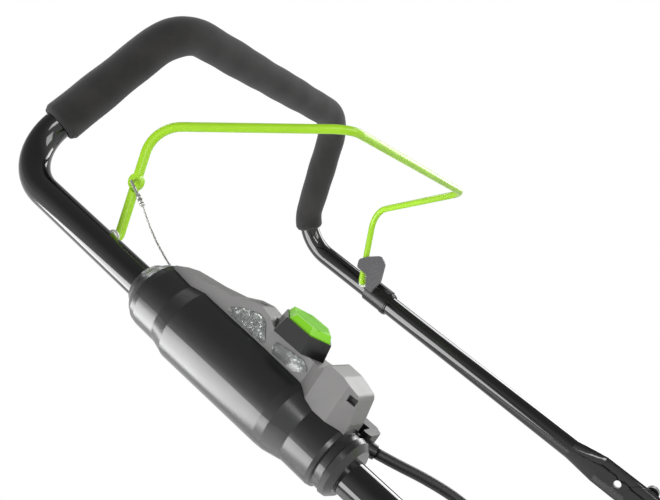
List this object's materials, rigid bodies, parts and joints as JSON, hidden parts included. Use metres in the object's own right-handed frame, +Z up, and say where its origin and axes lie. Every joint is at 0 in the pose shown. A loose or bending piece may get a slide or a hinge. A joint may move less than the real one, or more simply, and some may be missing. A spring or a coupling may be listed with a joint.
{
  "type": "cordless snow shovel",
  "caption": "Walk-behind battery snow thrower with a folding tube handle, a foam grip, a bail lever, a switch box, an auger housing and a turning chute.",
  "frame": {"origin": "centre of the bounding box, on the ground under the machine", "axes": "+X to the operator's right hand when standing behind the handle, +Y forwards out of the auger's mouth, +Z up"},
  "size_m": [0.5666, 1.0894, 0.9707],
  "materials": {
    "tube_black": "gloss",
    "foam": "matte",
    "bail_lime": "gloss",
    "zinc": "satin",
    "black_plastic": "satin",
    "box_black": "satin gloss",
    "cover_grey": "satin",
    "clear": "clear",
    "button_lime": "satin",
    "guard_grey": "matte",
    "white_plastic": "matte",
    "cord_black": "matte",
    "body_lime": "satin gloss",
    "housing_black": "grained",
    "frame_black": "satin",
    "rubber_black": "matte",
    "tyre_black": "matte",
    "wheel_grey": "satin",
    "pulley_cast": "cast",
    "motor_steel": "satin",
    "copper_alloy": "satin",
    "board_green": "matte",
    "battery_black": "satin"
  },
  "bodies": {
    "machine": {"lower_handle_right": "tube_black", "lower_handle_left": "tube_black", "foot_bolts": "zinc", "fold_bolts": "zinc", "cord_clip": "black_plastic", "body_gland": "black_plastic", "base_frame": "frame_black", "auger_housing": "housing_black", "scraper_bar": "black_plastic", "auger_bearings": "black_plastic", "drive_belt": "rubber_black", "belt_cover": "housing_black", "motor": "motor_steel", "wheel_axle": "zinc", "motor_hood": "body_lime", "battery_dock": "black_plastic", "dock_terminals": "copper_alloy", "controller_board": "board_green", "headlight_shells": "white_plastic", "headlight_lenses": "clear", "chute_ring": "black_plastic"},
    "handle": {"upper_handle_tube": "tube_black", "foam_grip": "foam", "bail_bushes": "white_plastic", "bail_guard": "guard_grey", "switch_box_lower": "box_black", "switch_box_upper": "box_black", "switch_box_cover": "cover_grey", "window_lenses": "clear", "start_button_block": "box_black", "start_button_spring": "zinc", "microswitch": "black_plastic", "slider_spring": "zinc", "box_screws": "zinc", "cord_gland": "black_plastic", "power_cord": "cord_black"},
    "bail": {"bail_lever": "bail_lime"},
    "wire": {"wire_hook": "zinc", "pull_wire": "zinc"},
    "slider": {"switch_slider": "white_plastic"},
    "start_button": {"start_button": "button_lime"},
    "auger": {"auger_shaft": "zinc", "auger_paddles": "rubber_black", "auger_pulley": "pulley_cast"},
    "motor_rotor": {"motor_shaft": "zinc", "motor_pulley": "zinc"},
    "chute": {"chute": "housing_black", "tilt_pins": "zinc", "chute_lever": "black_plastic"},
    "deflector": {"deflector": "body_lime"},
    "wheel_right": {"wheel_hub_right": "wheel_grey", "tyre_right": "tyre_black", "hub_cap_right": "black_plastic"},
    "wheel_left": {"wheel_hub_left": "wheel_grey", "tyre_left": "tyre_black", "hub_cap_left": "black_plastic"},
    "battery": {"battery_pack": "battery_black"},
    "battery_latch": {"battery_latch": "button_lime"},
    "knob_right": {"fold_knob_right": "black_plastic"},
    "knob_left": {"fold_knob_left": "black_plastic"}
  },
  "joints": [
    {"name": "handle_fold", "type": "hinge", "parent": "machine", "child": "handle", "pos_m": [-0.0012, -0.13701, 0.45898], "axis": [1, 0, 0], "range_deg": [-90, 0], "deforming": ["power_cord"]},
    {"name": "bail_pivot", "type": "hinge", "parent": "handle", "child": "bail", "pos_m": [-0.0012, -0.45042, 0.7483], "axis": [1, 0, 0], "range_deg": [0, 55], "stiffness_Nm_per_rad": 0.6, "springref_deg": -34.38, "deforming": ["pull_wire"]},
    {"name": "wire_swing", "type": "hinge", "parent": "bail", "child": "wire", "pos_m": [0.229, -0.43409, 0.79348], "axis": [1, 0, 0], "range_deg": [-34, 0]},
    {"name": "switch_slide", "type": "slide", "parent": "handle", "child": "slider", "axis": [0, -0.7431, 0.6691], "range_m": [0, 0.0236], "deforming": ["slider_spring"]},
    {"name": "start_press", "type": "slide", "parent": "handle", "child": "start_button", "axis": [0, -0.6691, -0.7431], "range_m": [0, 0.003], "stiffness_N_per_m": 500, "springref_m": -0.002, "deforming": ["start_button_spring"]},
    {"name": "auger_spin", "type": "hinge", "parent": "machine", "child": "auger", "pos_m": [-0.0012, 0.41326, 0.13], "axis": [1, 0, 0], "continuous": true},
    {"name": "motor_spin", "type": "hinge", "parent": "machine", "child": "motor_rotor", "pos_m": [-0.0012, 0.24126, 0.218], "axis": [1, 0, 0], "continuous": true},
    {"name": "chute_turn", "type": "hinge", "parent": "machine", "child": "chute", "pos_m": [-0.0012, 0.36826, 0.29], "axis": [0, 0, 1], "range_deg": [-90, 90]},
    {"name": "deflector_tilt", "type": "hinge", "parent": "chute", "child": "deflector", "pos_m": [-0.0012, 0.39226, 0.428], "axis": [1, 0, 0], "range_deg": [-45, 0]},
    {"name": "wheel_right_spin", "type": "hinge", "parent": "machine", "child": "wheel_right", "pos_m": [0.2138, 0.10826, 0.088], "axis": [1, 0, 0], "continuous": true},
    {"name": "wheel_left_spin", "type": "hinge", "parent": "machine", "child": "wheel_left", "pos_m": [-0.2162, 0.10826, 0.088], "axis": [1, 0, 0], "continuous": true},
    {"name": "battery_slide", "type": "slide", "parent": "machine", "child": "battery", "axis": [0, 0, 1], "range_m": [0, 0.13]},
    {"name": "latch_press", "type": "slide", "parent": "battery", "child": "battery_latch", "axis": [0, -1, 0], "range_m": [0, 0.004], "stiffness_N_per_m": 600, "springref_m": -0.002},
    {"name": "knob_right_turn", "type": "hinge", "parent": "machine", "child": "knob_right", "pos_m": [0.2668, -0.13701, 0.45898], "axis": [1, 0, 0], "continuous": true},
    {"name": "knob_left_turn", "type": "hinge", "parent": "machine", "child": "knob_left", "pos_m": [-0.2692, -0.13701, 0.45898], "axis": [1, 0, 0], "continuous": true}
  ],
  "couplings": [
    {"joint": "wire_swing", "follows": "bail_pivot", "ratio": -0.615},
    {"joint": "switch_slide", "follows": "bail_pivot", "m_per_rad": 0.02448},
    {"joint": "motor_spin", "follows": "auger_spin", "ratio": 2.8125}
  ]
}
